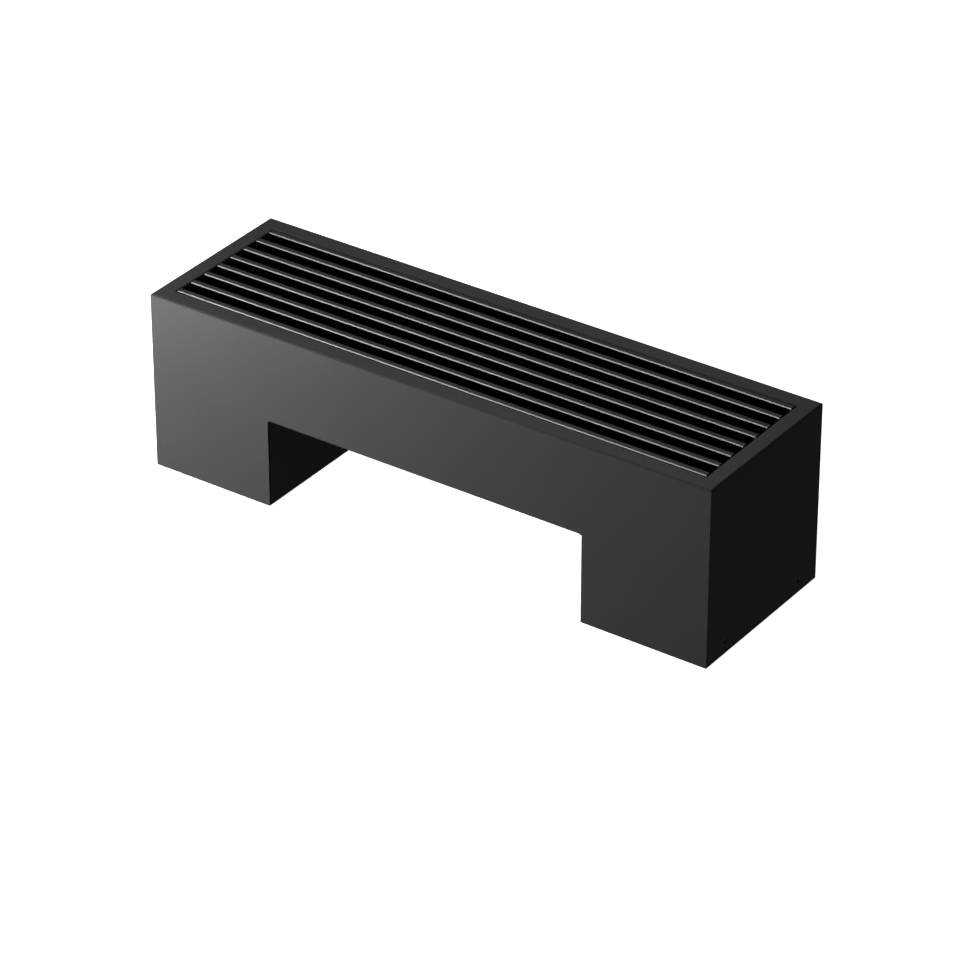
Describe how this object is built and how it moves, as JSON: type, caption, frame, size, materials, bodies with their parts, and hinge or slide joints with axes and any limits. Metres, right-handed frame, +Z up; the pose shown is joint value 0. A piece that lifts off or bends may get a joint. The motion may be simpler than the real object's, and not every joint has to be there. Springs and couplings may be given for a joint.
{
  "type": "floor-standing convector",
  "caption": "Low black floor-standing convector on box legs, with a lift-out linear grille over a finned water coil and valves in one leg.",
  "frame": {"origin": "on the floor, under the centre of the casing", "axes": "+X along the length towards the valve end, +Y from the front to the rear, +Z up"},
  "size_m": [0.6, 0.18, 0.18],
  "materials": {
    "casing": "matt black powder coat, fine texture",
    "slat": "black anodised extrusion, satin",
    "black_steel": "blackened steel",
    "fins": "bright rolled foil",
    "copper": "drawn copper tube, slightly tarnished",
    "brass": "turned and forged brass",
    "zinc": "hot-dip galvanised sheet, zinc-plated fasteners",
    "seal": "soft EPDM",
    "wheel_plastic": "moulded ABS, fine spark texture",
    "foot": "moulded nylon pad on a steel stud"
  },
  "bodies": {
    "stand_and_casing": {"front_panel": "casing", "rear_panel": "casing", "left_end_panel": "casing", "right_end_panel": "casing", "left_leg_inner_panel": "casing", "right_leg_inner_panel": "casing", "centre_brace": "casing", "grille_rest_strips": "seal", "fin_pack": "fins", "front_lower_tube": "copper", "front_upper_tube": "copper", "rear_lower_tube": "copper", "rear_upper_tube": "copper", "lower_return_bend": "copper", "upper_return_bend": "copper", "left_coil_plate": "zinc", "right_coil_plate": "zinc", "supply_header": "brass", "return_header": "brass", "air_vent_body": "brass", "drain_plug": "brass", "supply_union_nut": "brass", "return_union_nut": "brass", "union_washers": "seal", "supply_valve_body": "brass", "return_valve_body": "brass", "supply_bonnet": "brass", "return_bonnet": "brass", "lockshield_cap": "wheel_plastic", "left_foot_plate": "zinc", "right_foot_plate": "zinc", "left_coil_saddle": "zinc", "right_coil_saddle": "zinc", "coil_rests": "seal", "saddle_screws": "zinc", "levelling_nuts": "zinc", "left_end_screws": "black_steel", "right_end_screws": "black_steel", "end_screw_nuts": "zinc"},
    "grille": {"grille_slat_1": "slat", "grille_slat_2": "slat", "grille_slat_3": "slat", "grille_slat_4": "slat", "grille_slat_5": "slat", "grille_slat_6": "slat", "grille_slat_7": "slat", "grille_slat_8": "slat", "grille_tie_rods": "black_steel", "grille_spacers": "black_steel"},
    "hand_wheel": {"hand_wheel": "wheel_plastic", "supply_spindle": "brass"},
    "lockshield": {"lockshield_spindle": "brass"},
    "bleed": {"bleed_screw": "brass"},
    "front_left_foot": {"front_left_foot": "foot"},
    "front_right_foot": {"front_right_foot": "foot"},
    "rear_left_foot": {"rear_left_foot": "foot"},
    "rear_right_foot": {"rear_right_foot": "foot"}
  },
  "joints": [
    {"name": "grille_lift", "type": "slide", "parent": "stand_and_casing", "child": "grille", "axis": [0, 0, 1], "range_m": [0, 0.12]},
    {"name": "hand_wheel_turn", "type": "hinge", "parent": "stand_and_casing", "child": "hand_wheel", "pos_m": [0.2577, -0.0325, 0.14], "axis": [0, 0, 1], "range_deg": [0, 900]},
    {"name": "lockshield_turn", "type": "hinge", "parent": "stand_and_casing", "child": "lockshield", "pos_m": [0.2577, 0.0325, 0.13], "axis": [0, 0, 1], "range_deg": [0, 900]},
    {"name": "bleed_screw_turn", "type": "hinge", "parent": "stand_and_casing", "child": "bleed", "pos_m": [0.2102, 0.0325, 0.15], "axis": [0, 0, 1], "range_deg": [0, 360]},
    {"name": "front_left_foot_adjust", "type": "slide", "parent": "stand_and_casing", "child": "front_left_foot", "axis": [0, 0, -1], "range_m": [0, 0.008]},
    {"name": "front_right_foot_adjust", "type": "slide", "parent": "stand_and_casing", "child": "front_right_foot", "axis": [0, 0, -1], "range_m": [0, 0.008]},
    {"name": "rear_left_foot_adjust", "type": "slide", "parent": "stand_and_casing", "child": "rear_left_foot", "axis": [0, 0, -1], "range_m": [0, 0.008]},
    {"name": "rear_right_foot_adjust", "type": "slide", "parent": "stand_and_casing", "child": "rear_right_foot", "axis": [0, 0, -1], "range_m": [0, 0.008]}
  ]
}
